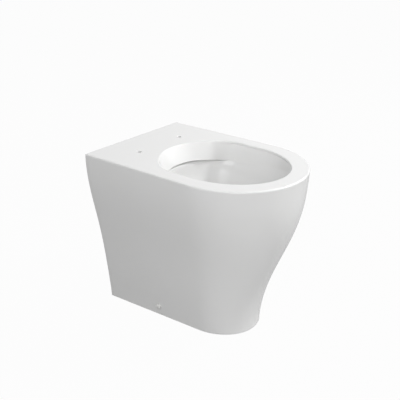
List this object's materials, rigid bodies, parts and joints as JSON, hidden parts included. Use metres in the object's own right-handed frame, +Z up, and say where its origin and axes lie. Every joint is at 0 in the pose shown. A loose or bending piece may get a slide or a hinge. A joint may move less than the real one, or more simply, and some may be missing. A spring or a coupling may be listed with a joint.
{
  "type": "back to wall toilet",
  "caption": "Floor-standing back to wall toilet pan with an open rim, a smooth flared skirt, a hidden trap, a flush spreader and side fixings under round caps.",
  "frame": {"origin": "on the floor, in the pan's middle plane, midway between the wall and the tip of the rim", "axes": "+Z up from the floor to the deck, +Y from the front of the pan to the wall, +X across the pan to the right side as seen from the front"},
  "size_m": [0.35, 0.51, 0.43],
  "materials": {
    "glazed_china": "white gloss glaze",
    "black_rubber": "moulded rubber",
    "zinc_steel": "zinc plated",
    "white_cap": "moulded gloss",
    "grey_plastic": "moulded, fine texture"
  },
  "bodies": {
    "root": {"china_rim": "glazed_china", "china_skirt": "glazed_china", "china_bowl": "glazed_china", "china_sump": "glazed_china", "china_trap_dip": "glazed_china", "china_trap_weir": "glazed_china", "china_trap_leg": "glazed_china", "outlet_spigot": "glazed_china", "flush_channel": "glazed_china", "inlet_socket": "glazed_china", "inlet_seal": "black_rubber", "flush_spreader": "grey_plastic", "spreader_seal": "black_rubber", "fixing_bracket_left": "grey_plastic", "fixing_bracket_right": "grey_plastic", "bracket_nut_left": "zinc_steel", "bracket_nut_right": "zinc_steel", "fixing_sleeve_left": "grey_plastic", "fixing_sleeve_right": "grey_plastic", "fixing_washer_left": "zinc_steel", "fixing_washer_right": "zinc_steel", "fixing_screw_left": "zinc_steel", "fixing_screw_right": "zinc_steel"},
    "cover_cap_left": {"cover_cap_left": "white_cap"},
    "cover_cap_right": {"cover_cap_right": "white_cap"}
  },
  "joints": [
    {"name": "cover_cap_left_pull", "type": "slide", "parent": "root", "child": "cover_cap_left", "axis": [-1, 0, 0], "range_m": [0, 0.03]},
    {"name": "cover_cap_right_pull", "type": "slide", "parent": "root", "child": "cover_cap_right", "axis": [1, 0, 0], "range_m": [0, 0.03]}
  ]
}
